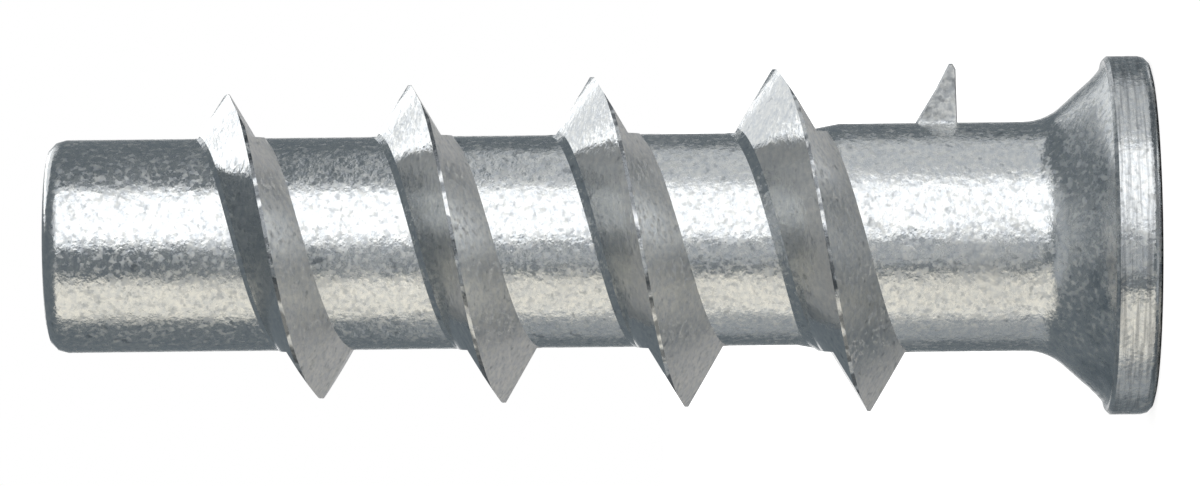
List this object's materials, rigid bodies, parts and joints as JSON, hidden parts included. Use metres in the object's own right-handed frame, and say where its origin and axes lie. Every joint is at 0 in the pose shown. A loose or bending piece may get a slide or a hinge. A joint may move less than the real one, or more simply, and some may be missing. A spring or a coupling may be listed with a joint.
{
  "type": "aerated concrete anchor",
  "caption": "Die-cast screw-in anchor for aerated concrete: flanged head, coarse outside thread, anti-turn fin, six-sided drive socket and a bore for a machine screw.",
  "frame": {"origin": "centre of the head's outer face, on which the anchor stands", "axes": "+Z along the axis from the head to the tip, +X through the fin, XZ is the mould's parting plane"},
  "size_m": [0.0196, 0.0196, 0.06],
  "materials": {
    "cast_zinc": "bare die-cast zinc, dull silver grey with a mottled cast skin"
  },
  "bodies": {
    "root": {"anchor_body": "cast_zinc"}
  },
  "joints": []
}
